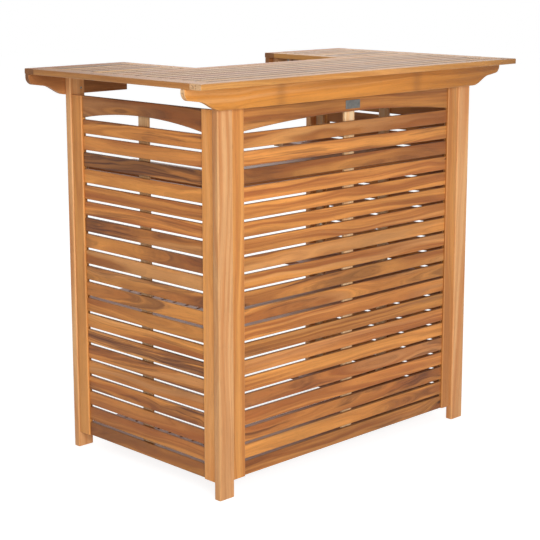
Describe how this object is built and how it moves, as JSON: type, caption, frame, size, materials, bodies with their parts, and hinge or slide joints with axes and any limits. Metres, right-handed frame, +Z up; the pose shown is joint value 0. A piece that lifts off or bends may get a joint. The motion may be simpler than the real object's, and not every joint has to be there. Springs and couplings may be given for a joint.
{
  "type": "patio bar table",
  "caption": "Slatted hardwood patio bar with a U-shaped slatted top, scrolled apron and rear brackets, louvred front and side panels with arched heads, and open-backed U-shaped shelves.",
  "frame": {"origin": "on the floor, below the middle of the top's outline", "axes": "+X along the front to the right as seen by a guest, +Y from the front to the open back, +Z up"},
  "size_m": [1.22, 0.698, 1.067],
  "materials": {
    "post_wood": "oiled, satin",
    "frame_wood": "oiled, satin",
    "slat_wood": "oiled, satin",
    "top_wood": "oiled, satin",
    "shelf_wood": "oiled, satin",
    "cleat_wood": "oiled, satin",
    "dowel_wood": "bare, dry",
    "plate_metal": "brushed, bare",
    "screw_steel": "zinc plated"
  },
  "bodies": {
    "root": {"front_left_post": "post_wood", "front_right_post": "post_wood", "back_left_post": "post_wood", "back_right_post": "post_wood", "front_apron": "frame_wood", "left_bracket": "frame_wood", "right_bracket": "frame_wood", "front_left_stile": "frame_wood", "front_right_stile": "frame_wood", "front_arched_rail": "frame_wood", "front_bottom_rail": "frame_wood", "front_slats": "slat_wood", "front_cleats": "cleat_wood", "left_front_stile": "frame_wood", "left_back_stile": "frame_wood", "left_arched_rail": "frame_wood", "left_bottom_rail": "frame_wood", "left_slats": "slat_wood", "left_cleats": "cleat_wood", "right_front_stile": "frame_wood", "right_back_stile": "frame_wood", "right_arched_rail": "frame_wood", "right_bottom_rail": "frame_wood", "right_slats": "slat_wood", "right_cleats": "cleat_wood", "top_front_rail": "top_wood", "top_middle_rail": "top_wood", "top_left_stile": "top_wood", "top_right_stile": "top_wood", "top_left_back_rail": "top_wood", "top_right_back_rail": "top_wood", "top_left_inner_stile": "top_wood", "top_right_inner_stile": "top_wood", "top_long_slats": "top_wood", "top_left_slats": "top_wood", "top_right_slats": "top_wood", "top_battens": "cleat_wood", "top_blocks": "cleat_wood", "lower_shelf_frame": "shelf_wood", "lower_shelf_long_slats": "shelf_wood", "lower_shelf_left_slats": "shelf_wood", "lower_shelf_right_slats": "shelf_wood", "middle_shelf_frame": "shelf_wood", "middle_shelf_long_slats": "shelf_wood", "middle_shelf_left_slats": "shelf_wood", "middle_shelf_right_slats": "shelf_wood", "upper_shelf_frame": "shelf_wood", "upper_shelf_long_slats": "shelf_wood", "upper_shelf_left_slats": "shelf_wood", "upper_shelf_right_slats": "shelf_wood", "name_plate": "plate_metal", "plate_pins": "plate_metal", "frame_dowels": "dowel_wood", "panel_dowels": "dowel_wood", "rail_dowels": "dowel_wood", "shelf_dowels": "dowel_wood", "cleat_screws": "screw_steel", "post_screws": "screw_steel", "top_screws": "screw_steel"}
  },
  "joints": []
}
